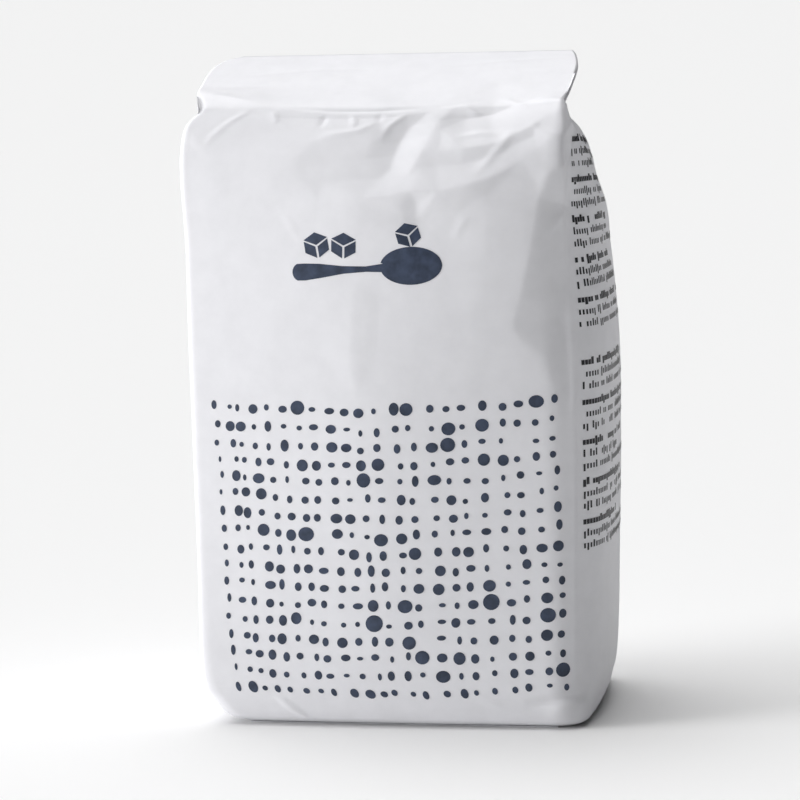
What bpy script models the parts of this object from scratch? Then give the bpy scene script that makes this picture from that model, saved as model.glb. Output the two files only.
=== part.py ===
"""A paper sugar bag for one kilogram, standing upright and filled tight.

The bag is a gusseted tube of coated paper with a block bottom. Its mouth is pressed flat into a strip,
which leans back over the sloping shoulder. The bag is shut and can't be seen into, so it is one closed solid:
a loft of tilted cross-sections from the base, up the body, over the shoulder and along the closing strip.

Metres, +Z up. The origin is the centre of the base, and the broad front panel faces -Y.
"""

import math

import bmesh
import bpy

MM = 0.001

# Base: flat where the bag stands, rounded up into the walls
BASE_SETBACK_SIDE = 8.0 * MM
BASE_SETBACK_FRONT = 5.0 * MM
BASE_RISE_FRONT = 8.0 * MM
BASE_SQUARENESS = 5.0
BASE_RINGS = 9

# Body and shoulder, in millimetres. Each station is a cross-section through the front wall at (y, z) and
# the back wall at (y, z), with its half width, its squareness and how far the side gussets tuck in.
# The first one is the top of the rounded base; above the third the back wall slopes forward.
STATIONS = (
    (-35.3, 15.0, 35.3, 15.0, 53.8, 7.0, 0.0),
    (-36.3, 45.0, 36.3, 45.0, 54.0, 7.0, 0.0),
    (-36.5, 75.0, 36.5, 72.0, 54.3, 7.0, 0.0),
    (-36.4, 105.0, 34.5, 97.0, 54.8, 6.5, 0.0),
    (-35.8, 130.0, 27.0, 121.0, 55.4, 6.0, 2.0),
    (-34.0, 147.5, 14.5, 139.5, 55.8, 6.0, 7.0),
    (-30.5, 158.0, -1.0, 151.5, 53.5, 8.0, 9.0),
    (-27.0, 162.6, -14.5, 158.5, 50.5, 14.0, 6.0),
)
RINGS_PER_STATION = 3

# Closing strip: the mouth pressed flat, all its plies and the turned-over edge together
STRIP_FOOT_Y = -24.0 * MM
STRIP_FOOT_Z = 164.5 * MM
STRIP_RUN = 25.0 * MM
STRIP_RISE = 12.0 * MM
STRIP_THICKNESS = 2.0 * MM
STRIP_FOOT_HALF_WIDTH = 48.5 * MM
STRIP_HALF_WIDTH = 49.5 * MM
STRIP_SPREAD_LENGTH = 9.0 * MM
STRIP_SQUARENESS = 40.0
STRIP_RINGS = 5
STRIP_FOLD_ANGLES = (0.0, 0.6, 1.1)

# Points round a cross-section
FRONT_STEPS = 24
SIDE_STEPS = 12

PAPER_COLOUR = (0.80, 0.80, 0.82, 1.0)
PAPER_ROUGHNESS = 0.45
SMOOTH_ANGLE = math.radians(50.0)


def clear_scene():
    for old in list(bpy.data.objects):
        bpy.data.objects.remove(old, do_unlink=True)


def ring(front, back, half_width, squareness, tuck):
    """Points of one cross-section, in order round the bag. It is an oblong with rounded corners in the plane
    through its front and back points (y, z), and its narrow sides fold inward by the tuck."""
    middle = ((front[0] + back[0]) / 2, (front[1] + back[1]) / 2)
    reach = ((back[0] - front[0]) / 2, (back[1] - front[1]) / 2)

    def point(across, along):
        return (half_width * across, middle[0] + reach[0] * along, middle[1] + reach[1] * along)

    def shrink(t):
        return (1 + abs(t) ** squareness) ** (-1 / squareness)

    points = []
    for side in (-1, 1):
        for i in range(FRONT_STEPS):
            t = -1 + 2 * i / FRONT_STEPS
            points.append(point(-side * t * shrink(t), side * shrink(t)))
        for i in range(SIDE_STEPS):
            t = -1 + 2 * i / SIDE_STEPS
            fold = tuck / half_width * (1 - abs(t))
            points.append(point(-side * (shrink(t) - fold), -side * t * shrink(t)))
    return points


def setback(depth, rise, height):
    """How far an elliptical rounding still stands back from the wall at a height."""
    if height >= rise:
        return 0.0
    return depth * (1 - math.sqrt(1 - (1 - height / rise) ** 2))


def base_rings():
    """Rings of the rounded base, close together where the rounding turns fastest."""
    front_y, rise, _, _, half_width, body_squareness, _ = STATIONS[0]
    rings = []
    for i in range(BASE_RINGS):
        share = 1 - math.cos(math.pi / 2 * i / BASE_RINGS)
        height = rise * MM * share
        half = half_width * MM - setback(BASE_SETBACK_SIDE, rise * MM, height)
        depth = -front_y * MM - setback(BASE_SETBACK_FRONT, BASE_RISE_FRONT, height)
        squareness = BASE_SQUARENESS + (body_squareness - BASE_SQUARENESS) * share
        rings.append(ring((-depth, height), (depth, height), half, squareness, 0.0))
    return rings


def smooth_between(before, start, end, after, t):
    """Catmull-Rom curve from start to end."""
    return 0.5 * (
        2 * start
        + (end - before) * t
        + (2 * before - 5 * start + 4 * end - after) * t**2
        + (3 * start - before - 3 * end + after) * t**3
    )


def wall_rings():
    """Rings of the body and shoulder, on smooth curves through the stations up to the strip's foot."""
    foot_y = STRIP_FOOT_Y / MM
    foot_z = STRIP_FOOT_Z / MM
    gap = STRIP_THICKNESS / MM
    foot = (foot_y, foot_z, foot_y + gap, foot_z - gap, STRIP_FOOT_HALF_WIDTH / MM, STRIP_SQUARENESS, 0.0)
    rows = [*STATIONS, foot]
    rings = []
    for i in range(len(STATIONS)):
        before = rows[max(i - 1, 0)]
        after = rows[min(i + 2, len(STATIONS))]
        for step in range(RINGS_PER_STATION):
            t = step / RINGS_PER_STATION
            row = [smooth_between(*four, t) for four in zip(before, rows[i], rows[i + 1], after)]
            front = (row[0] * MM, row[1] * MM)
            back = (row[2] * MM, row[3] * MM)
            rings.append(ring(front, back, row[4] * MM, row[5], max(row[6], 0.0) * MM))
    return rings


def strip_rings():
    """Rings of the flat strip, which ends in the rounded fold along its top."""
    length = math.hypot(STRIP_RUN, STRIP_RISE)
    ahead = (STRIP_RUN / length, STRIP_RISE / length)
    across = (ahead[1], -ahead[0])
    radius = STRIP_THICKNESS / 2
    stops = [(length * i / STRIP_RINGS, radius) for i in range(STRIP_RINGS)]
    for angle in STRIP_FOLD_ANGLES:
        stops.append((length - radius * (1 - math.sin(angle)), radius * math.cos(angle)))
    rings = []
    for along, half_thickness in stops:
        centre_y = STRIP_FOOT_Y + ahead[0] * along + across[0] * radius
        centre_z = STRIP_FOOT_Z + ahead[1] * along + across[1] * radius
        front = (centre_y - across[0] * half_thickness, centre_z - across[1] * half_thickness)
        back = (centre_y + across[0] * half_thickness, centre_z + across[1] * half_thickness)
        spread = min(1.0, along / STRIP_SPREAD_LENGTH)
        half = STRIP_FOOT_HALF_WIDTH + (STRIP_HALF_WIDTH - STRIP_FOOT_HALF_WIDTH) * spread
        rings.append(ring(front, back, half, STRIP_SQUARENESS, 0.0))
    return rings


def paper_material():
    material = bpy.data.materials.new("white_coated_paper")
    material.use_nodes = True
    shader = material.node_tree.nodes["Principled BSDF"]
    shader.inputs["Base Color"].default_value = PAPER_COLOUR
    shader.inputs["Roughness"].default_value = PAPER_ROUGHNESS
    shader.inputs["Metallic"].default_value = 0.0
    return material


def loft(name, rings, material):
    """One closed solid over a stack of rings that all have the same count of points."""
    mesh = bpy.data.meshes.new(name)
    shell = bmesh.new()
    loops = [[shell.verts.new(point) for point in points] for points in rings]
    for lower, upper in zip(loops, loops[1:]):
        for i in range(len(lower)):
            j = (i + 1) % len(lower)
            shell.faces.new((lower[i], lower[j], upper[j], upper[i]))
    shell.faces.new(list(reversed(loops[0])))
    shell.faces.new(loops[-1])
    bmesh.ops.recalc_face_normals(shell, faces=shell.faces)
    shell.to_mesh(mesh)
    shell.free()
    mesh.shade_smooth()
    mesh.set_sharp_from_angle(angle=SMOOTH_ANGLE)
    mesh.materials.append(material)
    bag = bpy.data.objects.new(name, mesh)
    bpy.context.scene.collection.objects.link(bag)
    return bag


def main():
    clear_scene()
    rings = base_rings() + wall_rings() + strip_rings()
    loft("sugar_pack", rings, paper_material())


main()
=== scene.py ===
"""Looks of a paper sugar bag for one kilogram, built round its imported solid.

White clay-coated kraft paper, filled tight and crumpled under the pressed closing strip. Its print is a
field of uneven navy dots, a teaspoon with sugar lumps, and rows of small black marks. The front faces -Y,
+Z is up.
"""

import math

import bmesh
import bpy
import numpy as np
from mathutils import Matrix, Vector, geometry


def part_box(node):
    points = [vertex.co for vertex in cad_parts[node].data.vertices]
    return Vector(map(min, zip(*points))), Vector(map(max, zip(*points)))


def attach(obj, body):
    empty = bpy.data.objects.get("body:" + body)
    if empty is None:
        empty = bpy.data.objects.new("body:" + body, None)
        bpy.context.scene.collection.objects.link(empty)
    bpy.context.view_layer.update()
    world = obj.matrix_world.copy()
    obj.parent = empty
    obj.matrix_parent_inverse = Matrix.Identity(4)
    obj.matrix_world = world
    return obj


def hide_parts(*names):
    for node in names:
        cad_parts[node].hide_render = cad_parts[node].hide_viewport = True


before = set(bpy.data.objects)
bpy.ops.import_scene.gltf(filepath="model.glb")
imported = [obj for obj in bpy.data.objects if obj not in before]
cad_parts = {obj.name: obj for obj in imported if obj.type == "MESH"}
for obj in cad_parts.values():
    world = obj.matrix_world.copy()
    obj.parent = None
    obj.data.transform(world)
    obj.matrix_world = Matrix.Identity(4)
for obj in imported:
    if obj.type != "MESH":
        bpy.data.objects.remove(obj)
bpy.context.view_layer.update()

# ---------------------------------------------------------------- sizes

# One drawn millimetre, taken from the height of the solid that the bag replaces
BAG_LOW, BAG_HIGH = (Vector(corner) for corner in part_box("sugar_pack"))
DRAWN_HEIGHT = 176.15
MM = (BAG_HIGH.z - BAG_LOW.z) / DRAWN_HEIGHT

# The flat sheet: front panel, right gusset, back panel and left gusset side by side
PANEL_WIDTH = 100.0
GUSSET_WIDTH = 71.0
FRONT_LEFT = 0.0
RIGHT_GUSSET = FRONT_LEFT + PANEL_WIDTH
BACK_RIGHT = RIGHT_GUSSET + GUSSET_WIDTH
LEFT_GUSSET = BACK_RIGHT + PANEL_WIDTH
GIRTH = LEFT_GUSSET + GUSSET_WIDTH
SHEET_SPAN = 400.0

# Cross-sections from the base to the top of the closing strip, in millimetres: front wall at (y, z), back
# wall at (y, z), half width to the left and to the right, belly of the front and back panels, swell (or,
# below zero, tuck) of the left and the right gusset, how far the left and the right corners are rounded, and
# how far the back right corner is set in from the front one
STATIONS = (
    (-30.4, 0.6, 30.4, 0.6, 41.8, 50, 0.6, 0.4, 0.8, 5, 7, 2),
    (-33.2, 2, 33.2, 2, 45, 51.2, 1, 0.6, 1.6, 5, 8, 2.4),
    (-35, 6.5, 35, 6.5, 49, 51.4, 1.8, 1, 3.1, 5, 8, 2.8),
    (-35.9, 15, 35.8, 15, 51.6, 50.8, 2.8, 1.6, 5.5, 3.6, 9, 3),
    (-37.4, 45, 36.8, 45, 51.7, 51.2, 5.2, 2.2, 6.5, 2.8, 9, 3),
    (-37.9, 75, 36.9, 72, 52, 51.5, 6.4, 2.4, 7.3, 2.8, 9, 3),
    (-37.7, 105, 34.9, 97, 52.3, 51.5, 6.8, 1.6, 7.5, 2.8, 9, 3),
    (-36.6, 130, 27.2, 121, 52.7, 49.7, 6.4, -2, 7.1, 2.8, 7.5, 1.6),
    (-34.4, 147.5, 14.5, 139.5, 53.8, 48, 5.2, -8, 6.5, 2.8, 4, 0),
    (-29.8, 158, -1, 151.5, 53.5, 48.2, 3, -12, 3.9, 3, 2, 0),
    (-26.7, 162.6, -14.5, 158.5, 50.2, 48.4, 1.2, -12, -1, 2, 1, 0),
    (-24, 164.5, -22.9, 162.5, 49.4, 48.5, 0, -5, -2, 0.4, 0.4, 0),
    (-18, 167.4, -17.5, 166.2, 50.6, 49.4, 0, -4, -1.2, 0.3, 0.3, 0),
    (-8, 172.2, -7.5, 171, 50, 49.8, 0, -4, -1.2, 0.3, 0.3, 0),
    (-2.4, 174.7, -2, 173.7, 47.4, 48.7, 0, -3, -1, 0.3, 0.3, 0),
    (0.4, 175.9, 0.8, 174.9, 42.4, 47.4, 0, -3, -1, 0.3, 0.3, 0),
)
# The back corners are rounded by this much at most
BACK_CORNER = 5.0
# How squarely a filled gusset swells, and how softly the panels' vault and a tucked gusset's crease turn
ARCH_POWER = 2.6
VAULT_POWER = 0.75
VAULT_SOFTNESS = 0.02
TUCK_SOFTNESS = 0.004
# Points along a panel's outline before it is spaced evenly, and along the bend at each fold
PANEL_POINTS = 121
MIDDLE_POINTS = 101
HALF_BEND = 8
# Steps between the rows of the wall at certain heights: fine at the base, and where the paper is crumpled
ROW_HEIGHTS = (12.0, 18.0, 60.0, 105.0)
ROW_STEPS = (0.9, 1.8, 1.8, 0.67)
FRONT_CELLS = 148
SIDE_CELLS = 62
BACK_CELLS = 96


# ---------------------------------------------------------------- shape of the bag


def smooth_rows(table):
    """Rows of a table on a smooth curve through its own rows."""
    table = np.array(table)
    padded = np.vstack([2 * table[0] - table[1], table, 2 * table[-1] - table[-2]])
    rows = []
    for i in range(len(table) - 1):
        before, start, end, after = padded[i : i + 4]
        reach = max(np.hypot(*(end - start)[:2]), np.hypot(*(end - start)[2:4]))
        height = (start[1] + end[1]) / 2
        step = np.interp(height, ROW_HEIGHTS, ROW_STEPS)
        count = max(3, int(round(reach / step)))
        for t in np.arange(count) / count:
            bend = 2 * before - 5 * start + 4 * end - after
            twist = 3 * start - before - 3 * end + after
            rows.append(0.5 * (2 * start + (end - before) * t + bend * t**2 + twist * t**3))
    rows.append(table[-1])
    return np.array(rows)


def travelled(points):
    """How far along a line of points each of them lies."""
    steps = np.linalg.norm(np.diff(points, axis=0), axis=1)
    return np.concatenate([[0.0], np.cumsum(steps)])


def spaced(points, count):
    """Points at equal distances along a line of points, both ends included."""
    travel = travelled(points)
    wanted = np.linspace(0.0, travel[-1], count + 1)
    return np.stack([np.interp(wanted, travel, points[:, k]) for k in range(points.shape[1])], axis=1)


def rounded(panels, reaches):
    """Panels that meet at sharp folds, with the fold after each panel rounded over a reach on both sides."""
    travels = [travelled(panel) for panel in panels]
    lengths = [travel[-1] for travel in travels]
    shorter = [min(lengths[k], lengths[(k + 1) % 4]) for k in range(4)]
    reaches = [min(reach, 0.4 * length) for reach, length in zip(reaches, shorter)]

    def at(k, wanted):
        return np.stack([np.interp(wanted, travels[k], panels[k][:, axis]) for axis in (0, 1)], axis=-1)

    t = np.linspace(0, 1, 2 * HALF_BEND + 1)[:, None]
    bends = []
    for k, reach in enumerate(reaches):
        start, end = at(k, lengths[k] - reach), at((k + 1) % 4, reach)
        bends.append((1 - t) ** 2 * start + 2 * t * (1 - t) * panels[k][-1] + t**2 * end)
    results = []
    for k in range(4):
        middle = at(k, np.linspace(reaches[k - 1], lengths[k] - reaches[k], MIDDLE_POINTS)[1:-1])
        results.append(np.vstack([bends[k - 1][HALF_BEND:], middle, bends[k][: HALF_BEND + 1]]))
    return results


def section(depth, left, right, belly, swell_left, swell_right, corner_left, corner_right, set_in):
    """One cross-section as (across, along) points in millimetres: the front panel from left to right, the
    right gusset, the back panel and the left gusset. Along runs from the front wall to the back wall."""
    t = np.linspace(-1, 1, PANEL_POINTS)
    edge = depth - belly
    arch = 1 - np.abs(t) ** ARCH_POWER
    lowest = VAULT_SOFTNESS**VAULT_POWER
    highest = (1 + VAULT_SOFTNESS) ** VAULT_POWER
    vault = 1 - ((t**2 + VAULT_SOFTNESS) ** VAULT_POWER - lowest) / (highest - lowest)
    crease = 1 - np.sqrt(t**2 + TUCK_SOFTNESS)
    across = (right - left) / 2 + (right + left) / 2 * t
    bulge_right = swell_right * (arch if swell_right > 0 else crease)
    bulge_left = swell_left * (arch if swell_left > 0 else crease)
    back_across = (right - set_in - left) / 2 - (right - set_in + left) / 2 * t
    front = np.stack([across, -edge - belly * vault], axis=1)
    right_side = np.stack([right - set_in * (1 + t) / 2 + bulge_right, edge * t], axis=1)
    back = np.stack([back_across, edge + belly * vault], axis=1)
    left_side = np.stack([-left - bulge_left, -edge * t], axis=1)
    corners = (corner_right, min(corner_right, BACK_CORNER), min(corner_left, BACK_CORNER), corner_left)
    return rounded([front, right_side, back, left_side], corners)


def bag_grid():
    """Positions of the whole wall: rows are cross-sections, columns run round the bag from the front left."""
    cells = (FRONT_CELLS, SIDE_CELLS, BACK_CELLS, SIDE_CELLS)
    grid = []
    for front_y, front_z, back_y, back_z, *shape in smooth_rows(STATIONS):
        middle = np.array([(front_y + back_y) / 2, (front_z + back_z) / 2])
        reach = np.array([(back_y - front_y) / 2, (back_z - front_z) / 2])
        depth = np.hypot(*reach)
        ring = []
        for panel, count in zip(section(depth, *shape), cells):
            even = spaced(panel, count)[:-1]
            ring.append(np.hstack([even[:, :1], middle + even[:, 1:] / depth * reach]))
        grid.append(np.vstack(ring))
    return np.array(grid)


def sheet_across():
    """How far across the flat sheet each column of the wall lies."""
    panels = (
        (FRONT_LEFT, PANEL_WIDTH, FRONT_CELLS),
        (RIGHT_GUSSET, GUSSET_WIDTH, SIDE_CELLS),
        (BACK_RIGHT, PANEL_WIDTH, BACK_CELLS),
        (LEFT_GUSSET, GUSSET_WIDTH, SIDE_CELLS),
    )
    return np.concatenate([start + width * np.arange(count) / count for start, width, count in panels])


def sheet_up(grid):
    """How far up the flat sheet each point of the wall lies, measured along its column."""
    climb = np.linalg.norm(np.diff(grid, axis=0), axis=2)
    return np.vstack([np.zeros(grid.shape[1]), np.cumsum(climb, axis=0)])


def grid_normals(grid):
    """Outward unit normals of the wall."""
    around = np.roll(grid, -1, axis=1) - np.roll(grid, 1, axis=1)
    upward = np.gradient(grid, axis=0)
    normal = np.cross(around, upward)
    return normal / np.maximum(np.linalg.norm(normal, axis=2, keepdims=True), 1e-9)


# ---------------------------------------------------------------- folds and dents of the paper

# Folds of the front, below the closing strip: lines of points (across, up, depth out of the panel) in
# millimetres on the flat sheet. Between the lines the paper lies in flat facets.
FRONT_FOLDS = {
    "rim_below": [(-4, 84, 0), (20, 86, 0), (44, 84, 0), (70, 84, 0), (84, 84, 0), (96, 84, 0)],
    "rim_above": [(-4, 181, 0), (20, 180, 0), (50, 180, 0), (80, 180, 0), (104, 181, 0)],
    "rim_left": [(-6, 110, 0), (-6, 130, 0), (-5, 150, 0), (-4, 168, 0)],
    "rim_right": [(106, 104, 0), (107, 120, 0), (107, 140, 0), (106, 158, 0), (104, 170, 0)],
    "strip_foot": [
        (2, 177.5, 0.4), (12, 172.5, 0.5), (21, 168.4, 0.35), (35.7, 167.4, 0.2), (50, 166.9, 0.1),
        (64.3, 167.1, -0.3), (81.7, 169.4, -0.7), (91.7, 170.8, -0.35), (99, 167.5, 0.1),
    ],
    "under_foot": [
        (10, 170, 0.1), (21.5, 166, 0.1), (35.5, 165.2, -0.15), (50, 164.8, -0.2), (55.2, 165, -0.1),
    ],
    "left_shoulder": [(4, 160.4, 0.3), (14, 163, 0.2), (24, 161, 0.1)],
    "dent_rim": [(55.2, 165, -0.1), (51.4, 160.8, -0.1), (49, 156.9, -0.3), (48, 153.4, -0.5)],
    "dent_left": [
        (30, 150, 0), (31, 154.4, 0.1), (35, 158.6, 0.15), (41, 160.2, 0.1), (46, 161.2, 0.1),
        (51.4, 160.8, -0.1),
    ],
    "dent_middle": [(39, 152.5, -0.3), (46.4, 147.9, -0.45)],
    "dent_floor": [
        (62.4, 165.8, -0.25), (58.4, 162, -0.65), (56.4, 158, -0.92), (55.2, 154, -0.95),
        (54.6, 150.5, -0.75), (52, 148, -0.5), (46.4, 147.9, -0.45), (38, 147.4, -0.2),
    ],
    "crest": [
        (68.2, 166.2, -0.2), (65.2, 162.6, 0.02), (64, 159, 0.2), (62.4, 155, 0.26), (60.4, 150.5, 0.18),
        (58.5, 147.4, 0.25),
    ],
    "sill": [(36, 143.2, 0.2), (46.4, 142.8, 0.5), (54, 143, 0.8), (59, 144, 0.95)],
    "right_sill": [
        (59, 144, 0.95), (66, 143.6, 1.35), (73, 144.8, 1.75), (79, 146.6, 1.8), (84, 149.4, 1.6),
    ],
    "right_floor": [(61.8, 150.4, 0.15), (66, 150.2, 0.2), (72, 150.4, 0.55), (78, 151.4, 0.85)],
    "long_dent": [
        (68.6, 163.4, -0.35), (72, 163, -0.6), (78, 163.8, -0.8), (86, 166.6, -0.5), (94, 169.2, -0.25),
    ],
    "long_ridge": [
        (66.4, 160.2, 0.12), (66.5, 154.2, 0.45), (72, 154, 1.05), (80, 155, 1.35), (86, 158, 1.4),
        (91, 161, 1.3), (96.4, 163.6, 1.2),
    ],
    "pinch": [(82, 152.8, 1.15), (84.6, 154.4, 1.25), (89, 156.6, 1.35)],
    "jagged_ridge": [
        (98.8, 159.6, 1.8), (94.8, 156.6, 2.2), (90.4, 153.4, 1.85), (86.4, 150.6, 1.6), (83.4, 146.8, 1.5),
        (77, 142, 1.1), (70, 138.4, 0.6),
    ],
    "below_jagged": [(95.2, 149, 2.2), (89.6, 145, 1.45), (84.4, 141, 1.1)],
    "lap": [(56.6, 141, 0.6), (56.6, 138, 0.4), (56.6, 128, 0.08)],
    "lap_valley": [(60.4, 141.5, 0.35), (60.4, 137, 0.1), (60.2, 130, 0)],
    "facet_edge": [
        (92.4, 148.4, 1.85), (90, 141, 1.1), (89.2, 137.4, 0.9), (86, 133.6, 0.85), (87.6, 126.6, 0.65),
        (86.2, 117, 0.45), (84.4, 107.7, 0.3), (86.4, 105.2, 0.25), (92.6, 99.4, 0.1), (94.4, 92, 0),
    ],
    "facet_flat": [
        (98.6, 150, 0.5), (98.4, 138, -1.3), (97.6, 122, -1.8), (97.6, 110, -1.6), (98.6, 98, -0.7),
        (98.6, 86, -0.2),
    ],
    "left_fold": [(0.6, 160.4, 0.1), (7.4, 155, 0.12), (12, 143, 0.12), (16, 139.4, 0.05)],
    "left_flat": [(13, 152, 0), (22, 148, 0.04), (24, 138, 0.08)],
    "middle_fold": [(45.5, 124, 0), (44.5, 117, 0.25), (44, 100, 0.25), (45, 92, 0)],
    "middle_floor": [(51.5, 124, 0), (51, 117, -0.05), (50.5, 100, -0.05), (50, 92, 0)],
    "calm": [
        (20, 120, 0.1), (34, 128, 0.1), (34, 106, 0), (66, 118, 0.2), (76, 126, 0.45), (74, 104, 0.2),
        (66, 132, 0.15), (10, 106, 0.05), (8, 126, 0.05),
    ],
}
# The net is drawn for a front of even width, and is stretched by this share where the shoulder draws it in
DRAWN_IN = 0.047
# The folds stand this much deeper than drawn. This share of them is crisp, and the rest is spread out softly
FOLD_DEPTH = 1.3
CRISP_SHARE = 0.85
SWELLING_PASSES = 24
# The sugar pushes the front out most at this place on the sheet, a little to the right of the middle
BULGE_PLACE = (79.0, 128.0)
BULGE_REACH = 17.0
BULGE_HEIGHT = 1.4
# Fine creases: points on the sheet, height out of the paper and width on each side
FINE_CREASES = (
    ([(21.5, 168), (23.9, 164)], 0.24, 1.5),
    ([(36, 166.6), (35.7, 162.5)], -0.3, 1.1),
    ([(43.2, 166.3), (44.3, 162)], 0.32, 1.1),
    ([(50.8, 166.6), (49.9, 163.4)], -0.24, 1.1),
    ([(28, 168.6), (36, 167.6), (50, 167), (63, 167.4)], -0.3, 1.1),
    ([(51.4, 158.2), (53.2, 162.4), (57, 165.6)], 0.26, 1.2),
    ([(36, 160.1), (45.1, 161.1), (50, 163.5)], 0.2, 1.5),
    ([(83.4, 158.4), (82.4, 155.4), (78.6, 151), (75.1, 147.4)], 0.3, 1.6),
    ([(97, 138), (91.3, 130.7)], 0.34, 1.8),
    ([(72.5, 137), (69, 132)], 0.2, 1.8),
    ([(18.7, 12), (22.4, 6), (24, 2.6)], 0.45, 1.8),
    ([(86, 8.6), (93, 9.4), (105, 10.6)], -0.55, 1.8),
    ([(91, 6), (98, 7), (104, 7.4)], 0.4, 2),
    ([(72, 12), (80, 7), (87, 5)], 0.2, 2),
    ([(30, 5.4), (50, 4.6), (70, 5.2)], -0.16, 1.8),
    ([(6, 158), (12, 166), (16, 170)], 0.2, 1.6),
    ([(27, 140), (31, 132)], 0.14, 1.8),
    ([(84, 170), (88, 164)], 0.24, 1.4),
    ([(72, 168), (75, 163)], 0.24, 1.4),
    ([(88, 160.6), (91, 157.4), (95, 155.8)], 0.2, 1.5),
    ([(70, 157.4), (76, 158.2), (81, 157.6)], 0.2, 1.4),
    ([(-2, 167), (-0.2, 171), (-1, 176.5)], -1.1, 2.8),
    ([(1.5, 178), (5, 175), (12, 174)], 0.2, 1.6),
    ([(60, 188.5), (80, 189.6), (98, 190)], -0.18, 1.4),
    ([(8, 186), (30, 189.4), (52, 189)], -0.14, 1.5),
)
# Each fine crease fades out over this share of its length at both ends, and its ridge is this sharp
CREASE_FADE = 0.3
CREASE_SHARPNESS = 1.4
# Seeded facets away from the front, as (spacing, lowest, highest, seed), and how deep they are
CALM_FACETS = (24.0, 4.0, 176.0, 3)
CALM_DEPTH = 0.5
LIVELY_FACETS = (11.0, 118.0, 190.0, 8)
LIVELY_DEPTH = 1.3
RIPPLES = (15.0, -10.0, 180.0, 21)
RIPPLE_DEPTH = 0.05
# How far a facet's corner strays from its place, as a share of the spacing
CORNER_STRAY = 0.32
# Where the sheet was creased by the bag machine, a low sharp ridge stands on each corner of the bag
CORNER_RIDGE = 0.34
CORNER_RIDGE_WIDTH = 2.2
# The back panel's glued seam
SEAM_LEFT = BACK_RIGHT + 43.0
SEAM_RIGHT = BACK_RIGHT + 59.0
SEAM_STEP = 0.16


def facets(lines, across, up):
    """Depth of the paper where straight facets are stretched between lines of points."""
    places, edges, depths = [], [], []
    seen = {}
    for points in lines.values():
        last = None
        for u, v, depth in points:
            key = (round(u, 2), round(v, 2))
            if key not in seen:
                seen[key] = len(places)
                places.append(Vector((u, v)))
                depths.append(depth)
            if last is not None and last != seen[key]:
                edges.append((last, seen[key]))
            last = seen[key]
    corners, _, triangles, sources, _, _ = geometry.delaunay_2d_cdt(places, edges, [], 0, 1e-4)
    heights = []
    for i, place in enumerate(corners):
        if sources[i]:
            heights.append(depths[sources[i][0]])
        else:
            nearest = min(range(len(places)), key=lambda k: (places[k] - place).length)
            heights.append(depths[nearest])
    field = np.zeros(across.shape)
    for triangle in triangles:
        (ax, ay), (bx, by), (cx, cy) = (corners[k] for k in triangle)
        area = (bx - ax) * (cy - ay) - (by - ay) * (cx - ax)
        if abs(area) < 1e-9:
            continue
        near = (across >= min(ax, bx, cx)) & (across <= max(ax, bx, cx))
        near &= (up >= min(ay, by, cy)) & (up <= max(ay, by, cy))
        u, v = across[near], up[near]
        share_b = ((u - ax) * (cy - ay) - (v - ay) * (cx - ax)) / area
        share_c = ((bx - ax) * (v - ay) - (by - ay) * (u - ax)) / area
        share_a = 1 - share_b - share_c
        inside = (share_a >= -1e-6) & (share_b >= -1e-6) & (share_c >= -1e-6)
        height_a, height_b, height_c = (heights[k] for k in triangle)
        height = share_a * height_a + share_b * height_b + share_c * height_c
        field[near] = np.where(inside, height, field[near])
    return field


def creases(lines, across, up):
    """Fine sharp creases: each is a list of (across, up) points, its height out of the paper and its width on
    each side. It fades out at both ends."""
    field = np.zeros(across.shape)
    for points, height, width in lines:
        points = np.array(points)
        travel = travelled(points)
        lengths = np.diff(travel)
        nearest = np.full(across.shape, np.inf)
        place = np.zeros(across.shape)
        for k, (start, length) in enumerate(zip(points, lengths)):
            ahead = (points[k + 1] - start) / length
            along = np.clip((across - start[0]) * ahead[0] + (up - start[1]) * ahead[1], 0, length)
            off = np.hypot(across - start[0] - ahead[0] * along, up - start[1] - ahead[1] * along)
            place = np.where(off < nearest, travel[k] + along, place)
            nearest = np.minimum(nearest, off)
        share = place / travel[-1]
        fade = np.clip(np.minimum(share, 1 - share) / CREASE_FADE, 0.0, 1.0) ** 0.7
        field += height * fade * np.clip(1 - nearest / width, 0, 1) ** CREASE_SHARPNESS
    return field


def crumples(across, up, spacing, lowest, highest, seed):
    """Random facets all the way round the bag between two heights, with corners from -1 to 1 deep."""
    draw = np.random.default_rng(seed)
    columns = round(GIRTH / spacing)
    rows = round((highest - lowest) / spacing)
    corners = {}
    for row in range(rows + 1):
        for column in range(columns):
            u = (column + 0.5 * (row % 2) + draw.uniform(-CORNER_STRAY, CORNER_STRAY)) * GIRTH / columns
            v = lowest + (row + draw.uniform(-CORNER_STRAY, CORNER_STRAY)) * (highest - lowest) / rows
            depth = draw.uniform(-1, 1) if 0 < row < rows else 0.0
            for turn in (-GIRTH, 0, GIRTH):
                if -2 * spacing < u + turn < GIRTH + 2 * spacing:
                    corners[row, column, turn] = [(u + turn, v, depth)]
    return facets(corners, across, up)


def smooth_step(values, low, high):
    """Zero below the low value, one above the high one, and smooth between."""
    share = np.clip((values - low) / (high - low), 0, 1)
    return share * share * (3 - 2 * share)


def between(values, rise, risen, fall, fallen):
    """One between two values and zero outside them, with a smooth rise and a smooth fall."""
    return smooth_step(values, rise, risen) * (1 - smooth_step(values, fall, fallen))


def softened(field, passes):
    """The field with its folds rounded a little; it wraps round the bag."""
    for _ in range(passes):
        tall = np.vstack([field[:1], field, field[-1:]])
        field = 0.5 * field + 0.125 * (tall[:-2] + tall[2:] + np.roll(field, 1, 1) + np.roll(field, -1, 1))
    return field


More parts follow.
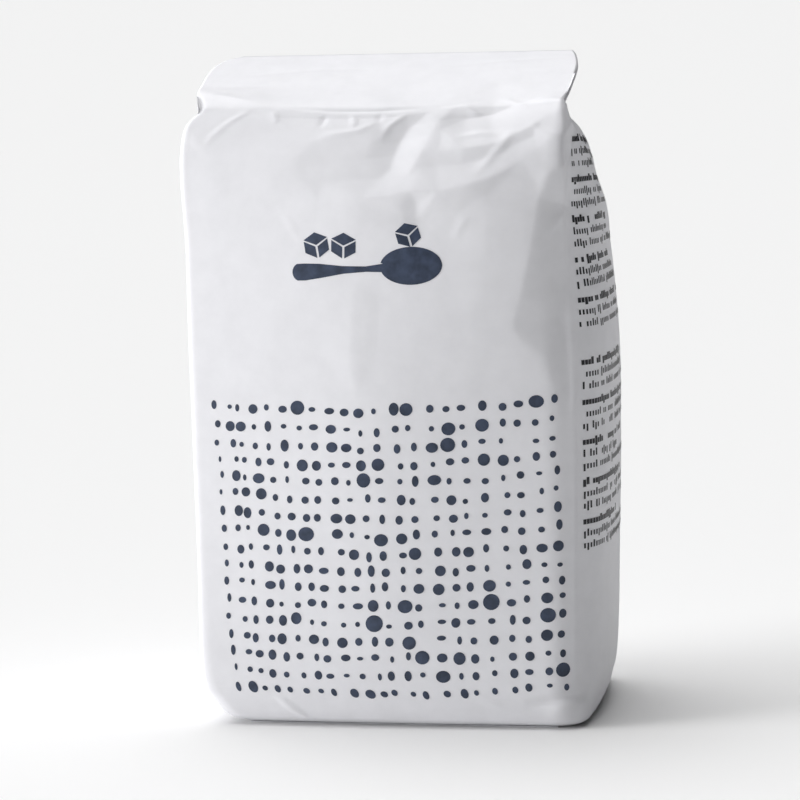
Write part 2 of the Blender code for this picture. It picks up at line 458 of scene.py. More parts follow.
grid = bag_grid()
up = sheet_up(grid)
across = np.broadcast_to(sheet_across(), up.shape)
behind = between(across, RIGHT_GUSSET + 2, RIGHT_GUSSET + 14, GIRTH - 12, GIRTH - 2)
drawn_in = DRAWN_IN * between(up, 100.0, 140.0, 163.0, 170.0)
# The far half of the left gusset counts as negative, so that it lies left of the front
drawn_across = np.where(across > GIRTH - GUSSET_WIDTH / 2, across - GIRTH, across) / (1 + drawn_in)
relief = facets(FRONT_FOLDS, drawn_across, up)
# Crisp folds over a softer swelling of the paper round them
crisp, swelling = softened(relief, 1), softened(relief, SWELLING_PASSES)
relief = FOLD_DEPTH * (CRISP_SHARE * crisp + (1 - CRISP_SHARE) * swelling)
relief += softened(creases(FINE_CREASES, drawn_across, up), 1)
bulge_across = (drawn_across - BULGE_PLACE[0]) / BULGE_REACH
bulge_up = (up - BULGE_PLACE[1]) / BULGE_REACH
relief += BULGE_HEIGHT * np.exp(-(bulge_across**2 + bulge_up**2) / 2) * (1 - behind)

# Away from the front the paper lies in large calm facets, and in small lively ones under the strip
calm_facets = CALM_DEPTH * crumples(across, up, *CALM_FACETS)
lively_facets = LIVELY_DEPTH * between(up, 118.0, 150.0, 171.0, 178.0) * crumples(across, up, *LIVELY_FACETS)
relief += behind * softened(calm_facets + lively_facets, 2)
ripples = softened(crumples(across, up, *RIPPLES), 3)
relief += RIPPLE_DEPTH * ripples * between(up, 6.0, 20.0, 150.0, 170.0)
for corner in (FRONT_LEFT, RIGHT_GUSSET, BACK_RIGHT, LEFT_GUSSET, GIRTH):
    ridge = np.clip(1 - np.abs(across - corner) / CORNER_RIDGE_WIDTH, 0, 1) ** 1.3
    relief += CORNER_RIDGE * ridge * between(up, 4.0, 14.0, 160.0, 172.0)
# The glued seam up the middle of the back: two plies over its width
relief += SEAM_STEP * between(across, SEAM_LEFT - 0.6, SEAM_LEFT + 0.6, SEAM_RIGHT - 1.2, SEAM_RIGHT + 1.2)
grid = grid + grid_normals(grid) * relief[..., None]


# ---------------------------------------------------------------- materials


def linear(code):
    """An sRGB hex colour as linear RGBA."""
    channels = [int(code[k : k + 2], 16) / 255 for k in (0, 2, 4)]
    return tuple(c / 12.92 if c <= 0.04045 else ((c + 0.055) / 1.055) ** 2.4 for c in channels) + (1.0,)


# Kinds of node that come up again and again
MATH = "ShaderNodeMath"
VECTOR = "ShaderNodeVectorMath"
MAP_RANGE = "ShaderNodeMapRange"
RANDOM = "FunctionNodeRandomValue"


def add(tree, kind, inputs=None, operation=None, **settings):
    """Adds a node with its operation and other settings. An input given as a socket, or as a node for its
    first output, is linked, and any other value is set."""
    node = tree.nodes.new(kind)
    if operation:
        node.operation = operation
    for name, value in settings.items():
        setattr(node, name, value)
    for key, value in (inputs or {}).items():
        if isinstance(value, bpy.types.Node):
            value = value.outputs[0]
        if isinstance(value, bpy.types.NodeSocket):
            tree.links.new(value, node.inputs[key])
        else:
            node.inputs[key].default_value = value
    return node


def clouded(name, size, detail, roughness, stops):
    """Starts a material: its tree, the object's coordinates, a fine cloud with flecks of a size in
    millimetres, and a colour ramp of that cloud through stops of (position, colour)."""
    material = bpy.data.materials.new(name)
    material.use_nodes = True
    tree = material.node_tree
    tree.nodes.clear()
    place = add(tree, "ShaderNodeTexCoord").outputs["Object"]
    inputs = {"Vector": place, "Scale": 1 / (size * MM), "Detail": detail, "Roughness": roughness}
    cloud = add(tree, "ShaderNodeTexNoise", inputs).outputs["Fac"]
    tone = add(tree, "ShaderNodeValToRGB", {"Fac": cloud})
    for element, (position, code) in zip(tone.color_ramp.elements, stops):
        element.position = position
        element.color = linear(code)
    return material, tree, place, cloud, tone


def finished(material, tree, inputs):
    """The material with a principled surface."""
    add(tree, "ShaderNodeOutputMaterial", {"Surface": add(tree, "ShaderNodeBsdfPrincipled", inputs)})
    return material


# Fibre flocks, the grain of the clay coat and the clouds of the ink, in millimetres. The real grain is too
# fine to show, and is drawn coarser
FLOCK_SIZE = 6.25
GRAIN_SIZE = 0.4545
INK_CLOUD_SIZE = 3.333


def coated_kraft():
    """Bleached kraft paper with a calendered clay coat: white, faintly cool, with a low soft gloss. Fibre
    flocks cloud its tone a little, and the coat's grain breaks up the gloss."""
    stops = ((0.3, "E3E3E7"), (0.7, "E8E8EC"))
    material, tree, place, flocks, tone = clouded("coated_white_kraft_paper", FLOCK_SIZE, 4.0, 0.6, stops)
    fine = {"Vector": place, "Scale": 1 / (GRAIN_SIZE * MM), "Detail": 3.0}
    grain = add(tree, "ShaderNodeTexNoise", fine)
    gloss = add(tree, MAP_RANGE, {"Value": flocks, "To Min": 0.42, "To Max": 0.54})
    bump = add(tree, "ShaderNodeBump", {"Height": grain, "Strength": 0.08, "Distance": 0.05 * MM})
    coat = {"Base Color": tone, "Roughness": gloss, "Normal": bump, "IOR": 1.5, "Specular IOR Level": 0.35}
    return finished(material, tree, coat)


def printing_ink(name, thick, thin):
    """Water-based flexographic ink on the clay coat: dark and satin, a touch paler where the plate pressed
    less. The thick and the thin colour cloud into each other over a few millimetres."""
    stops = ((0.35, thick), (0.68, thin))
    material, tree, _, _, tone = clouded(name, INK_CLOUD_SIZE, 3.0, 0.55, stops)
    film = {"Base Color": tone, "Roughness": 0.42, "IOR": 1.48, "Specular IOR Level": 0.4}
    return finished(material, tree, film)


PAPER = coated_kraft()
NAVY_INK = printing_ink("flexo_navy_ink", "2D3648", "3F4A60")
BLACK_INK = printing_ink("flexo_black_ink", "1F1F23", "303036")


# ---------------------------------------------------------------- the bag


def placed(name, data):
    """An object in the scene."""
    made = bpy.data.objects.new(name, data)
    bpy.context.scene.collection.objects.link(made)
    return made


def quads(index):
    """Four-sided faces between the rows and columns of a grid of point numbers."""
    corners = [index[:-1, :-1], index[:-1, 1:], index[1:, 1:], index[1:, :-1]]
    return np.stack(corners, axis=-1).reshape(-1, 4).tolist()


def wall_mesh(name, grid, across, up, material):
    """The closed skin of the bag, with its sheet coordinates as a UV map."""
    rows, columns, _ = grid.shape
    index = np.arange(rows * columns).reshape(rows, columns)
    faces = quads(np.hstack([index, index[:, :1]])) + [index[0, ::-1].tolist(), index[-1].tolist()]
    mesh = bpy.data.meshes.new(name)
    mesh.from_pydata([tuple(p) for p in grid.reshape(-1, 3) * MM], [], faces)
    corner = np.empty(len(mesh.loops), dtype=np.int64)
    mesh.loops.foreach_get("vertex_index", corner)
    u = across.reshape(-1)[corner]
    v = up.reshape(-1)[corner]
    # The last column's faces reach round to the first column, where the sheet's far edge lies
    wall = u[: 4 * (rows - 1) * columns].reshape(rows - 1, columns, 4)
    wall[:, -1, 1:3] = GIRTH
    layer = mesh.uv_layers.new(name="sheet")
    layer.data.foreach_set("uv", (np.stack([u, v], axis=1) / SHEET_SPAN).reshape(-1))
    mesh.shade_smooth()
    mesh.materials.append(material)
    return placed(name, mesh)


PLY_SHARP_ANGLE = math.radians(50.0)


def ply(name, inner, outer, material):
    """A closed thin sheet between an inner and an outer grid of points in millimetres."""
    index = np.arange(outer[..., 0].size).reshape(outer.shape[:2])
    rim = np.concatenate([index[0], index[1:, -1], index[-1, -2::-1], index[-2::-1, 0]])
    faces = quads(index) + quads(index + index.size) + quads(np.stack([rim, rim + index.size]))
    points = np.vstack([outer.reshape(-1, 3), inner.reshape(-1, 3)]) * MM
    mesh = bpy.data.meshes.new(name)
    mesh.from_pydata([tuple(p) for p in points], [], faces)
    shell = bmesh.new()
    shell.from_mesh(mesh)
    bmesh.ops.recalc_face_normals(shell, faces=shell.faces)
    shell.to_mesh(mesh)
    shell.free()
    mesh.shade_smooth()
    mesh.set_sharp_from_angle(angle=PLY_SHARP_ANGLE)
    mesh.materials.append(material)
    piece = placed(name, mesh)
    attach(piece, "root")


bag = wall_mesh("paper_bag", grid, across, up, PAPER)
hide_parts("sugar_pack")
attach(bag, "root")

# The mouth is turned over to the back and glued down: a flap behind the strip, its free edge a little loose
FLAP_DEPTH = 20.0
FLAP_THICKNESS = 0.42
FLAP_LOOSE = 0.55
FLAP_SETTLES = 3.0
GLUE_GAP = 0.03
back_columns = np.arange(FRONT_CELLS + SIDE_CELLS + 1, FRONT_CELLS + SIDE_CELLS + BACK_CELLS)
behind_strip = up[-1, back_columns[0]] - up[:, back_columns[0]] <= FLAP_DEPTH
flap_rows = np.nonzero(behind_strip)[0]
flap_base = grid[np.ix_(flap_rows, back_columns)]
flap_out = grid_normals(grid)[np.ix_(flap_rows, back_columns)]
from_edge = (up[flap_rows, back_columns[0]] - up[flap_rows[0], back_columns[0]])[:, None]
along_edge = np.linspace(0, 1, len(back_columns))[None, :]
waves = 0.5 + 0.3 * np.sin(9.0 * along_edge + 1.0) + 0.2 * np.sin(23.0 * along_edge)
lift = FLAP_LOOSE * waves * np.exp(-from_edge / FLAP_SETTLES) + GLUE_GAP
inner = flap_base + flap_out * lift[..., None]
ply("turned_over_flap", inner, inner + flap_out * FLAP_THICKNESS, PAPER)


# Under the base the block bottom is closed by two long flaps with slanting ends, one over the other
BOTTOM_LEFT, BOTTOM_RIGHT = -40.0, 45.0
BOTTOM_EDGE = 29.6
FLAP_INSET = 1.0
FLAP_SLANT = 13.0


def bottom_flap(name, edge, reach, low, high):
    """A flap of the block bottom between two heights. It starts at the front or the back edge of the base and
    reaches over its middle, with a reach below zero towards the front."""
    rows = []
    for share in np.linspace(0, 1, 12):
        inset = FLAP_INSET + FLAP_SLANT * share
        y = edge + reach * share
        rows.append([(x, y) for x in np.linspace(BOTTOM_LEFT + inset, BOTTOM_RIGHT - inset, 30)])
    flat = np.array(rows)
    bottom, top = (np.insert(flat, 2, height, axis=2) for height in (low, high))
    ply(name, top, bottom, PAPER)


bottom_flap("back_bottom_flap", BOTTOM_EDGE, reach=-38.0, low=0.32, high=0.56)
bottom_flap("front_bottom_flap", -BOTTOM_EDGE, reach=37.0, low=0.06, high=0.30)


# ---------------------------------------------------------------- print, grown flat and draped on the bag

SOCKETS = {int: "NodeSocketInt", float: "NodeSocketFloat"}


def new_tree(name, inputs):
    """A geometry tree with one geometry output, and the sockets of its named inputs. Each input is given as
    its default or, where it has none, as its type of socket."""
    tree = bpy.data.node_groups.new(name, "GeometryNodeTree")
    tree.interface.new_socket(name="Geometry", in_out="OUTPUT", socket_type="NodeSocketGeometry")
    for label, default in inputs.items():
        kind = SOCKETS.get(type(default), default)
        socket = tree.interface.new_socket(name=label, in_out="INPUT", socket_type=kind)
        if kind != default:
            socket.default_value = default
    return tree, add(tree, "NodeGroupInput").outputs


def grown(name, tree, start, values):
    """A plain piece made by a geometry tree from a start mesh, with the tree's inputs set by name."""
    host = placed(name + "_start", start)
    modifier = host.modifiers.new("grow", "NODES")
    modifier.node_group = tree
    for item in tree.interface.items_tree:
        if item.in_out == "INPUT" and item.name in values:
            modifier[item.identifier] = values[item.name]
    depsgraph = bpy.context.evaluated_depsgraph_get()
    mesh = bpy.data.meshes.new_from_object(host.evaluated_get(depsgraph), depsgraph=depsgraph)
    mesh.name = name
    bpy.data.objects.remove(host)
    piece = placed(name, mesh)
    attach(piece, "root")


PRINT_LIFT = 0.06 * MM
DRAPE_INPUTS = {"Paper": "NodeSocketObject", "Lift": PRINT_LIFT, "Ink": "NodeSocketMaterial"}


def drape_tree():
    """Lays a flat drawing, made in sheet millimetres, on the paper with a small lift, and inks it."""
    tree, given = new_tree("drape_on_sheet", {"Drawing": "NodeSocketGeometry", **DRAPE_INPUTS})
    paper = add(tree, "GeometryNodeObjectInfo", {"Object": given["Paper"]}).outputs["Geometry"]
    sheet = add(tree, "GeometryNodeInputNamedAttribute", {"Name": "sheet"}, data_type="FLOAT_VECTOR")
    flat = add(tree, "GeometryNodeInputPosition")
    wanted = add(tree, VECTOR, {0: flat, "Scale": 1 / SHEET_SPAN}, "SCALE")
    sampled = []
    for kind in ("GeometryNodeInputPosition", "GeometryNodeInputNormal"):
        inputs = {"Mesh": paper, "Value": add(tree, kind), "UV Map": sheet, "Sample UV": wanted}
        node = add(tree, "GeometryNodeSampleUVSurface", inputs, data_type="FLOAT_VECTOR")
        sampled.append(node.outputs["Value"])
    on_paper, outward = sampled
    lift = add(tree, VECTOR, {0: outward, "Scale": given["Lift"]}, "SCALE")
    place = add(tree, VECTOR, {0: on_paper, 1: lift}, "ADD")
    whole = add(tree, "GeometryNodeRealizeInstances", {"Geometry": given["Drawing"]})
    draped = add(tree, "GeometryNodeSetPosition", {"Geometry": whole, "Position": place})
    inked = add(tree, "GeometryNodeSetMaterial", {"Geometry": draped, "Material": given["Ink"]})
    add(tree, "NodeGroupOutput", {"Geometry": inked})
    return tree


DRAPE = drape_tree()


def end_draped(tree, given, drawing):
    """Ends a tree by laying its flat drawing on the paper, as the tree's own inputs say."""
    inputs = {"Drawing": drawing, **{name: given[name] for name in DRAPE_INPUTS}}
    add(tree, "NodeGroupOutput", {"Geometry": add(tree, "GeometryNodeGroup", inputs, node_tree=DRAPE)})


def split(tree, index, count):
    """An index counted row by row, as its place in its row and the number of the row."""
    place = add(tree, MATH, {0: index, 1: count}, "FLOORED_MODULO")
    rows_before = add(tree, MATH, {0: index, 1: count}, "DIVIDE")
    return place, add(tree, MATH, {0: rows_before}, "FLOOR")


# Lengths in sheet millimetres
WAVE_LENGTH = 14.0
DOT_INPUTS = {
    "Columns": 22,
    "Rows": 17,
    "Top left": "NodeSocketVector",
    "Top right": "NodeSocketVector",
    "Bottom left": "NodeSocketVector",
    "Droop": 2.2,
    "Column drift": 0.9,
    "Wave": 1.5,
    "Jitter": 0.35,
    "Crowding": 1.09,
    "Smallest": 1.75,
    "Largest": 3.7,
    "Rarity": 5.0,
    "Spread": 0.36,
    "Stretch": 0.32,
    "Empty share": 0.006,
    "Seed": "NodeSocketInt",
    **DRAPE_INPUTS,
}


def dot_field_tree():
    """A field of inked dots in uneven columns and wavy rows, which crowd a little towards the left. Each dot
    is an upright ellipse with its own size and stretch, and a few places are left empty."""
    tree, given = new_tree("ink_dot_field", DOT_INPUTS)
    index = add(tree, "GeometryNodeInputIndex")
    column, row = split(tree, index, given["Columns"])
    shares = []
    for place, count in ((column, given["Columns"]), (row, given["Rows"])):
        last = add(tree, MATH, {0: count, 1: 1.0}, "SUBTRACT")
        shares.append(add(tree, MATH, {0: place, 1: last}, "DIVIDE"))
    even, down = shares
    over = add(tree, MATH, {0: even, 1: given["Crowding"]}, "POWER")

    # The corner plus a share of the top edge and of the left edge
    place = given["Top left"]
    for end, share in ((given["Top right"], over), (given["Bottom left"], down)):
        edge = add(tree, VECTOR, {0: end, 1: given["Top left"]}, "SUBTRACT")
        part = add(tree, VECTOR, {0: edge, "Scale": share}, "SCALE")
        place = add(tree, VECTOR, {0: place, 1: part}, "ADD")

    # The rows droop between their ends, and each column strays as a whole
    rest = add(tree, MATH, {0: 1.0, 1: over}, "SUBTRACT")
    middle = add(tree, MATH, {0: over, 1: rest}, "MULTIPLY")
    depth = add(tree, MATH, {0: given["Droop"], 1: -4.0}, "MULTIPLY")
    sag = add(tree, MATH, {0: middle, 1: depth}, "MULTIPLY")
    chance = add(tree, RANDOM, {"ID": column, "Seed": given["Seed"], 2: -1.0, 3: 1.0}).outputs[1]
    stray = add(tree, MATH, {0: chance, 1: given["Column drift"]}, "MULTIPLY")
    shift = add(tree, "ShaderNodeCombineXYZ", {"X": stray, "Y": sag})
    place = add(tree, VECTOR, {0: place, 1: shift}, "ADD")

    # The rows wave gently, and each dot is a little off its place
    noise_place = add(tree, VECTOR, {0: place, 1: (0.0, 0.0, 7.0)}, "ADD")
    waving = {"Vector": noise_place, "Scale": 1 / WAVE_LENGTH, "Detail": 1.0}
    noise = add(tree, "ShaderNodeTexNoise", waving)
    scatter = add(tree, RANDOM, {"ID": index, "Seed": given["Seed"]}, data_type="FLOAT_VECTOR")
    for source, reach in ((noise.outputs["Color"], given["Wave"]), (scatter, given["Jitter"])):
        centred = add(tree, VECTOR, {0: source, 1: (0.5, 0.5, 0.5)}, "SUBTRACT")
        level = add(tree, VECTOR, {0: centred, 1: (2.0, 2.0, 0.0)}, "MULTIPLY")
        offset = add(tree, VECTOR, {0: level, "Scale": reach}, "SCALE")
        place = add(tree, VECTOR, {0: place, 1: offset}, "ADD")

    # Mostly small dots and a few large ones, wide or tall by turns, with a leaning of their column
    seeds = [add(tree, MATH, {0: given["Seed"], 1: k}, "ADD") for k in (11.0, 23.0, 37.0, 53.0)]
    chance = add(tree, RANDOM, {"ID": index, "Seed": seeds[0]}).outputs[1]
    rare = add(tree, MATH, {0: chance, 1: given["Rarity"]}, "POWER")
    sizes = {"Value": rare, "To Min": given["Smallest"], "To Max": given["Largest"]}
    common_size = add(tree, MAP_RANGE, sizes)
    luck = add(tree, RANDOM, {"ID": index, "Seed": seeds[3], 2: -1.4, 3: 1.0}).outputs[1]
    swing = add(tree, MATH, {0: luck, 1: given["Spread"]}, "MULTIPLY")
    swell = add(tree, MATH, {0: 2.0, 1: swing}, "POWER")
    size = add(tree, MATH, {0: common_size, 1: swell}, "MULTIPLY")
    own = add(tree, RANDOM, {"ID": index, "Seed": seeds[1], 2: -1.0, 3: 1.0}).outputs[1]
    common = add(tree, RANDOM, {"ID": column, "Seed": seeds[2], 2: -0.6, 3: 0.4}).outputs[1]
    leaning = add(tree, MATH, {0: own, 1: common}, "ADD")
    calm = add(tree, MATH, {0: 1.0, 1: rare}, "SUBTRACT")
    calmed = add(tree, MATH, {0: leaning, 1: calm}, "MULTIPLY")
    stretch = add(tree, MATH, {0: calmed, 1: given["Stretch"]}, "MULTIPLY")
    factor = add(tree, MATH, {0: 2.0, 1: stretch}, "POWER")
    crowded = add(tree, MAP_RANGE, {"Value": even, "From Max": 0.14, "To Min": 0.68, "To Max": 1.0})
    narrowed = add(tree, MATH, {0: size, 1: crowded}, "MULTIPLY")
    width = add(tree, MATH, {0: narrowed, 1: factor}, "MULTIPLY")
    height = add(tree, MATH, {0: size, 1: factor}, "DIVIDE")
    scale = add(tree, "ShaderNodeCombineXYZ", {"X": width, "Y": height, "Z": 1.0})

    count = add(tree, MATH, {0: given["Columns"], 1: given["Rows"]}, "MULTIPLY")
    points = add(tree, "GeometryNodePoints", {"Count": count, "Position": place})
    printed = add(tree, MATH, {0: 1.0, 1: given["Empty share"]}, "SUBTRACT")
    lot = {"Probability": printed, "ID": index, "Seed": seeds[2]}
    kept = add(tree, RANDOM, lot, data_type="BOOLEAN").outputs[3]
    dot = add(tree, "GeometryNodeMeshCircle", {"Vertices": 18, "Radius": 0.5}, fill_type="TRIANGLE_FAN")
    laid = {"Points": points, "Selection": kept, "Instance": dot, "Scale": scale}
    dots = add(tree, "GeometryNodeInstanceOnPoints", laid)
    end_draped(tree, given, dots)
    return tree


DOT_FIELD = dot_field_tree()


def print_on(name, tree, ink, start, places, values):
    """A print that grows from nothing, with its places moved across the flat sheet by a start."""
    moved = {key: (u + start, v, 0.0) for key, (u, v) in places.items()}
    inputs = {"Paper": bag, "Ink": ink, "Lift": PRINT_LIFT, **moved, **values}
    grown(name, tree, bpy.data.meshes.new("start"), inputs)


DOT_CORNERS = {"Top left": (6.6, 90.4), "Top right": (94.7, 88.6), "Bottom left": (9.3, 15.0)}
for panel, start, seed in (("front", FRONT_LEFT, 5), ("back", BACK_RIGHT, 12)):
    print_on(f"{panel}_dots", DOT_FIELD, NAVY_INK, start, DOT_CORNERS, {"Seed": seed})


# Lengths in sheet millimetres
MARK_INPUTS = {
    "Paragraphs": 5,
    "Rows each": 3,
    "Marks a row": 44,
    "Top left": "NodeSocketVector",
    "Mark pitch": 1.3,
    "Row pitch": 3.15,
    "Lean": "NodeSocketFloat",
    "Paragraph gap": 1.0,
    "Mark width": 0.72,
    "Bold width": 1.14,
    "Mark height": 1.3,
    "Stem": 0.6,
    "Shortest": 0.35,
    "Gap share": 0.15,
    "Seed": "NodeSocketInt",
    **DRAPE_INPUTS,
}


def mark_lines_tree():
    """Paragraphs of small upright marks in rows, which stand for small print and spell nothing. Each
    paragraph has a bold first row, and the rows end ragged."""
    tree, given = new_tree("ink_mark_lines", MARK_INPUTS)
    index = add(tree, "GeometryNodeInputIndex")
    along, row = split(tree, index, given["Marks a row"])
    in_group, group = split(tree, row, given["Rows each"])
    bold = add(tree, MATH, {0: in_group, 1: 0.5}, "LESS_THAN")

    # A row ends after its own share of the marks, and marks left out part the words
    seeds = [add(tree, MATH, {0: given["Seed"], 1: k}, "ADD") for k in (3.0, 17.0, 29.0, 41.0)]
    longest = add(tree, MAP_RANGE, {"Value": bold, "To Min": 1.15, "To Max": 0.75})
    share = add(tree, RANDOM, {"ID": row, "Seed": seeds[0], 2: given["Shortest"], 3: longest}).outputs[1]
    last = add(tree, MATH, {0: share, 1: given["Marks a row"]}, "MULTIPLY")
    within = add(tree, MATH, {0: along, 1: last}, "LESS_THAN")
    odds = add(tree, RANDOM, {"ID": index, "Seed": seeds[1]}).outputs[1]
    inked = add(tree, MATH, {0: odds, 1: given["Gap share"]}, "GREATER_THAN")
    kept = add(tree, MATH, {0: within, 1: inked}, "MULTIPLY")

    # Some marks have a stem above the row and a few have one below it
    stems = []
    for seed, limit in ((seeds[2], 0.3), (seeds[3], 0.14)):
        draw = add(tree, RANDOM, {"ID": index, "Seed": seed}).outputs[1]
        has = add(tree, MATH, {0: draw, 1: limit}, "LESS_THAN")
        stems.append(add(tree, MATH, {0: has, 1: given["Stem"]}, "MULTIPLY"))
    both = add(tree, MATH, {0: stems[0], 1: stems[1]}, "ADD")
    uneven = add(tree, MATH, {0: stems[0], 1: stems[1]}, "SUBTRACT")
    height = add(tree, MATH, {0: given["Mark height"], 1: both}, "ADD")
    raised = add(tree, MATH, {0: uneven, 1: 0.5}, "MULTIPLY")
    widths = {"Value": bold, "To Min": given["Mark width"], "To Max": given["Bold width"]}
    width = add(tree, MAP_RANGE, widths)
    scale = add(tree, "ShaderNodeCombineXYZ", {"X": width, "Y": height, "Z": 1.0})

    fall = add(tree, MATH, {0: row, 1: given["Row pitch"]}, "MULTIPLY")
    gaps = add(tree, MATH, {0: group, 1: given["Paragraph gap"]}, "MULTIPLY")
    lower = add(tree, MATH, {0: raised, 1: fall}, "SUBTRACT")
    lowest = add(tree, MATH, {0: lower, 1: gaps}, "SUBTRACT")
    right = add(tree, MATH, {0: along, 1: given["Mark pitch"]}, "MULTIPLY")
    leant = add(tree, MATH, {0: fall, 1: given["Lean"]}, "MULTIPLY")
    slid = add(tree, MATH, {0: right, 1: leant}, "SUBTRACT")
    offset = add(tree, "ShaderNodeCombineXYZ", {"X": slid, "Y": lowest})
    place = add(tree, VECTOR, {0: given["Top left"], 1: offset}, "ADD")

    rows = add(tree, MATH, {0: given["Paragraphs"], 1: given["Rows each"]}, "MULTIPLY")
    count = add(tree, MATH, {0: rows, 1: given["Marks a row"]}, "MULTIPLY")
    points = add(tree, "GeometryNodePoints", {"Count": count, "Position": place})
    sizes = {"Size X": 1.0, "Size Y": 1.0, "Vertices X": 2, "Vertices Y": 2}
    mark = add(tree, "GeometryNodeMeshGrid", sizes)
    laid = {"Points": points, "Selection": kept, "Instance": mark, "Scale": scale}
    marks = add(tree, "GeometryNodeInstanceOnPoints", laid)
    end_draped(tree, given, marks)
    return tree


MARK_LINES = mark_lines_tree()
# Two blocks of rows on each gusset, as (across from its edge, up the sheet, lean, seed)
MARK_BLOCKS = ((6.6, 155.5, 0.07, 3), (3.4, 97.5, 0.0, 8))

for panel, start, turn in (("right", RIGHT_GUSSET, 0), ("left", LEFT_GUSSET, 60)):
    for block, (margin, height, lean, seed) in zip(("upper", "lower"), MARK_BLOCKS):
        values = {"Lean": lean, "Seed": seed + turn}
        name = f"{panel}_{block}_marks"
        print_on(name, MARK_LINES, BLACK_INK, start, {"Top left": (margin, height)}, values)


def filled(outlines, spacing):
    """A flat mesh inside each closed outline, with points inside at a spacing so that it can drape."""
    mesh = bpy.data.meshes.new("drawing")
    places, faces = [], []
    for outline in outlines:
        points = [Vector(point) for point in outline]
        edges = [(k, (k + 1) % len(points)) for k in range(len(points))]
        low = [min(point[k] for point in points) for k in (0, 1)]
        high = [max(point[k] for point in points) for k in (0, 1)]
        for u in np.arange(low[0] + spacing / 2, high[0], spacing):
            for v in np.arange(low[1] + spacing / 2, high[1], spacing):
                points.append(Vector((u, v)))
        corners, _, triangles, *_ = geometry.delaunay_2d_cdt(points, edges, [], 1, 1e-4)
        faces += [tuple(k + len(places) for k in triangle) for triangle in triangles]
        places += [(corner.x, corner.y, 0.0) for corner in corners]
    mesh.from_pydata(places, [], faces)
    return mesh


def arc(centre, half, start, end, count):
    """Points on an upright ellipse from one angle to another, in degrees."""
    angles = np.linspace(math.radians(start), math.radians(end), count)
    return [(centre[0] + half[0] * math.cos(a), centre[1] + half[1] * math.sin(a)) for a in angles]


def teaspoon():
    """The outline of a teaspoon lying on its side: a handle with a broad rounded end, and the bowl."""
    handle_top = [(33.0, 126.7), (37.0, 126.5), (43.0, 125.7), (49.0, 125.4), (53.5, 125.9)]
    handle_low = [(53.5, 123.7), (49.0, 124.0), (43.0, 123.7), (37.0, 122.8), (33.0, 122.3)]
    neck = 167.0
    bowl = arc((60.6, 125.0), (7.9, 4.9), neck, -neck, 40)
    return handle_top + bowl + handle_low + arc((31.6, 124.5), (2.0, 2.3), 250, 110, 9)


def lump(corner, width, turn):
    """The three faces of a sugar lump seen from one corner, with thin bright lines between them. Its near
    corner is at a place on the sheet, and the lump is turned by some degrees."""
    half, drop, height, gap = width / 2, width * 0.26, width * 0.52, width * 0.045
    line = 0.06 * width
    shapes = (
        [(-half, drop), (0, 2 * drop), (half, drop), (0, 0)],
        [(-half, drop - line), (-half, drop - height), (-gap, -height), (-gap, -line)],
        [(half, drop - line), (gap, -line), (gap, -height), (half, drop - height)],
    )
    c, s = math.cos(math.radians(turn)), math.sin(math.radians(turn))
    return [[(corner[0] + x * c - y * s, corner[1] + x * s + y * c) for x, y in shape] for shape in shapes]


def motif():
    """A generic picture for a pack of sugar: a teaspoon with three lumps of sugar over it."""
    lumps = (((36.4, 131.4), 6.4, 6.0), ((43.6, 131.0), 6.4, -5.0), ((60.4, 133.0), 6.0, 12.0))
    return [teaspoon()] + [face for place in lumps for face in lump(*place)]


MOTIF_LIFT = 0.07 * MM
grown("spoon_motif", DRAPE, filled(motif(), 0.9), {"Paper": bag, "Ink": NAVY_INK, "Lift": MOTIF_LIFT})


# ---------------------------------------------------------------- floor, light and camera


def floor_material():
    """Seamless studio card, matt white."""
    material = bpy.data.materials.new("studio_card")
    material.use_nodes = True
    shader = material.node_tree.nodes["Principled BSDF"]
    shader.inputs["Base Color"].default_value = linear("F4F4F4")
    shader.inputs["Roughness"].default_value = 0.9
    return material


def add_floor():
    mesh = bpy.data.meshes.new("floor")
    reach = 12.0
    corners = [(-reach, -reach, 0), (reach, -reach, 0), (reach, reach, 0), (-reach, reach, 0)]
    mesh.from_pydata(corners, [], [(0, 1, 2, 3)])
    mesh.materials.append(floor_material())
    floor = placed("floor", mesh)


def direction(azimuth, elevation):
    """Unit vector towards a place given in degrees. Azimuth 0 is in front, and positive to the right."""
    turn, rise = math.radians(azimuth), math.radians(elevation)
    return Vector((math.sin(turn) * math.cos(rise), -math.cos(turn) * math.cos(rise), math.sin(rise)))


def add_key(azimuth, elevation, spread, strength):
    """A broad soft light. The spread is its width in degrees."""
    data = bpy.data.lights.new("key", "SUN")
    data.angle = math.radians(spread)
    data.energy = strength
    placed("key", data).rotation_euler = direction(azimuth, elevation).to_track_quat("Z", "Y").to_euler()


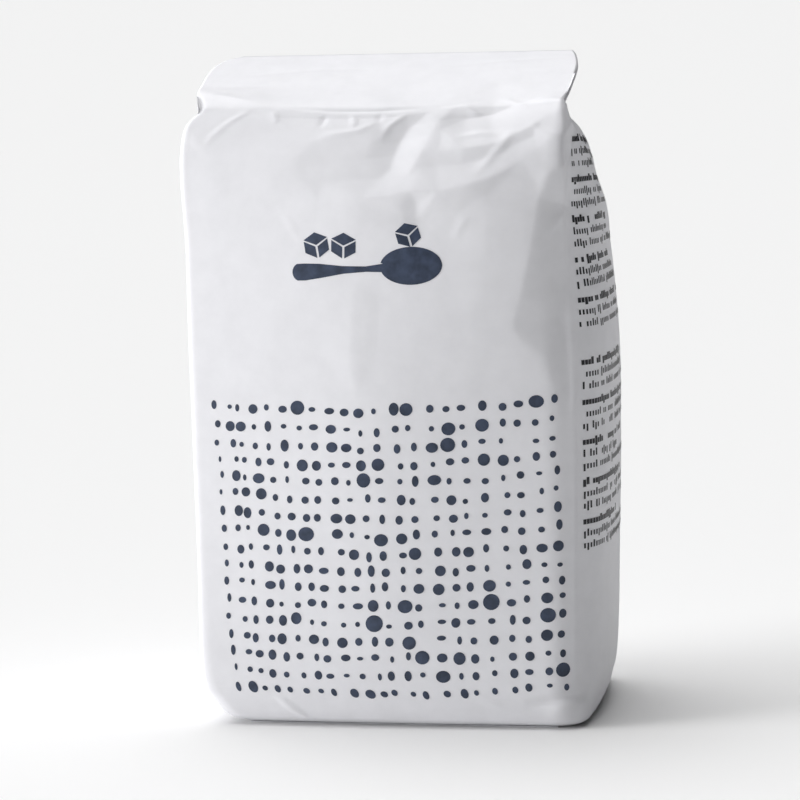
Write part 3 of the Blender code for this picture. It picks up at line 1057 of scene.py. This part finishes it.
def add_world(overhead, around, backdrop):
    """White light from a soft dome overhead, a little to the left and behind. Seen directly, the world is an
    even white backdrop."""
    world = bpy.data.worlds.new("studio")
    world.use_nodes = True
    tree = world.node_tree
    looking = add(tree, "ShaderNodeTexCoord").outputs["Generated"]
    dome = Vector((-0.2, 0.14, 0.97)).normalized()
    nearness = add(tree, VECTOR, {0: looking, 1: dome}, "DOT_PRODUCT").outputs["Value"]
    fade = {"Value": nearness, "From Min": 0.75, "From Max": 0.98, "To Min": around, "To Max": overhead}
    strength = add(tree, MAP_RANGE, fade, interpolation_type="SMOOTHSTEP")
    seen = add(tree, "ShaderNodeLightPath").outputs["Is Camera Ray"]
    shown = add(tree, "ShaderNodeMix", {0: seen, 2: strength, 3: backdrop})
    background = tree.nodes["Background"]
    background.inputs["Color"].default_value = (1.0, 1.0, 1.0, 1.0)
    tree.links.new(shown.outputs[0], background.inputs["Strength"])
    bpy.context.scene.world = world


def add_camera(azimuth, elevation, roll, distance, lens, height, right, up):
    """A camera at a distance in millimetres from its aim. The aim is at a height over the middle of the base,
    and then moved right and up as the camera sees it."""
    toward = direction(azimuth, elevation)
    level = direction(azimuth + 90.0, 0.0)
    above = toward.cross(level)
    tilt = math.radians(roll)
    turned_right = level * math.cos(tilt) - above * math.sin(tilt)
    turned_up = level * math.sin(tilt) + above * math.cos(tilt)
    aim = (Vector((0, 0, height)) + turned_right * right + turned_up * up) * MM
    data = bpy.data.cameras.new("camera")
    data.sensor_width = 36.0
    data.lens = lens
    data.clip_start = 0.05
    camera = placed("camera", data)
    turn = Matrix((turned_right, turned_up, toward)).transposed()
    camera.matrix_world = Matrix.Translation(aim + toward * distance * MM) @ turn.to_4x4()
    bpy.context.scene.camera = camera


add_floor()
add_key(azimuth=-68.0, elevation=9.0, spread=30.0, strength=3.4)
add_world(overhead=3.5, around=0.0, backdrop=0.9)
add_camera(12.0, 8.0, roll=1.7, distance=1000.0, lens=167.0, height=88.0, right=-1.88, up=-5.25)
bpy.context.scene.view_settings.view_transform = "Standard"
